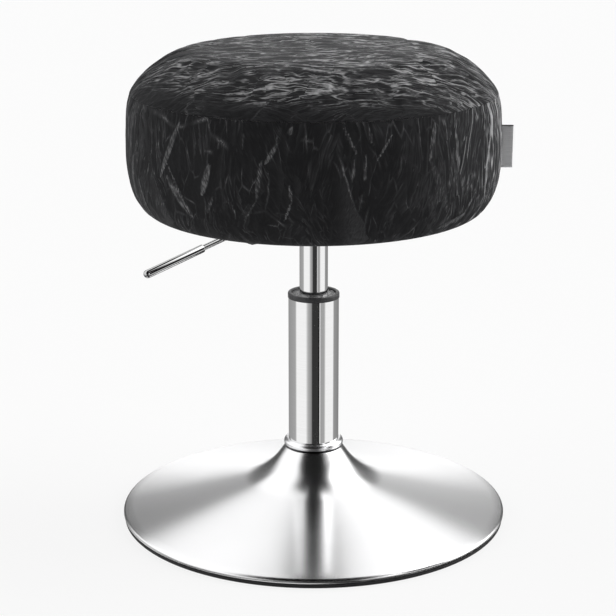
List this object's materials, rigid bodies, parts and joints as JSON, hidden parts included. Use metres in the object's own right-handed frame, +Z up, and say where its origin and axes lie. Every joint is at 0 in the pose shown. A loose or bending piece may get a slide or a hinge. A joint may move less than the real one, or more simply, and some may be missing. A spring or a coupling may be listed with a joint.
{
  "type": "swivel vanity stool",
  "caption": "Round padded seat that swivels and rises on a gas-lift column over a flared trumpet base; a side lever presses the valve pin that frees the lift.",
  "frame": {"origin": "centre of the round footprint, on the floor, on the swivel axis", "axes": "+Z up along the column; the front of the stool, as pictured, faces -Y and its right side is +X"},
  "size_m": [0.3849, 0.385, 0.4726],
  "materials": {
    "velvet": "crushed velvet pile with a soft sheen",
    "foam": "open-cell foam",
    "plywood": "sanded plywood",
    "dust_cloth": "non-woven cloth",
    "ribbon": "satin ribbon",
    "satin_chrome": "satin plated, spun",
    "polished_chrome": "mirror plated",
    "black_plastic": "moulded, fine grain",
    "black_rubber": "matt",
    "black_steel": "semi-matt powder coat",
    "zinc_steel": "zinc plated",
    "turned_aluminium": "turned"
  },
  "bodies": {
    "base": {"trumpet_base": "satin_chrome", "floor_ring": "black_rubber", "base_hub": "black_steel", "hub_gusset": "black_steel", "trim_ring": "polished_chrome", "column_tube": "polished_chrome", "collar_cap": "black_plastic", "column_guide": "black_plastic", "end_plate": "zinc_steel", "lower_race": "zinc_steel"},
    "bearing": {"bearing_balls": "zinc_steel", "bearing_cage": "black_plastic"},
    "spindle": {"upper_race": "zinc_steel", "piston_rod": "polished_chrome", "rod_clip": "zinc_steel", "end_washer": "zinc_steel", "rubber_buffer": "black_rubber", "piston": "turned_aluminium", "piston_seal": "black_rubber"},
    "seat": {"gas_cylinder": "polished_chrome", "rod_guide": "turned_aluminium", "rod_seal": "black_rubber", "pressure_tube": "zinc_steel", "valve_body": "turned_aluminium", "valve_seal": "black_rubber", "plate_socket": "black_steel", "seat_plate": "black_steel", "seat_screws": "zinc_steel", "seat_washers": "zinc_steel", "tee_nuts": "zinc_steel", "lever_pin": "zinc_steel", "seat_board": "plywood", "foam_pad": "foam", "seat_cover_top": "velvet", "seat_cover_band": "velvet", "dust_cover": "dust_cloth", "label_tab": "ribbon"},
    "lever": {"lever_rod": "polished_chrome", "lever_grip": "polished_chrome"},
    "release_pin": {"release_pin": "zinc_steel"}
  },
  "joints": [
    {"name": "seat_swivel", "type": "hinge", "parent": "base", "child": "spindle", "pos_m": [0, 0, 0.0232], "axis": [0, 0, 1], "continuous": true},
    {"name": "cage_spin", "type": "hinge", "parent": "base", "child": "bearing", "pos_m": [0, 0, 0.0232], "axis": [0, 0, 1], "continuous": true},
    {"name": "seat_lift", "type": "slide", "parent": "spindle", "child": "seat", "axis": [0, 0, 1], "range_m": [-0.03, 0.09]},
    {"name": "lever_lift", "type": "hinge", "parent": "seat", "child": "lever", "pos_m": [-0.02705, -0.0206, 0.31075], "axis": [-0.606, 0.7955, 0], "range_deg": [0, 7], "stiffness_Nm_per_rad": 1, "springref_deg": -5.73},
    {"name": "pin_press", "type": "slide", "parent": "seat", "child": "release_pin", "axis": [0, 0, -1], "range_m": [0, 0.0045]}
  ],
  "couplings": [
    {"joint": "cage_spin", "follows": "seat_swivel", "ratio": 0.5},
    {"joint": "pin_press", "follows": "lever_lift", "m_per_rad": 0.0345}
  ]
}
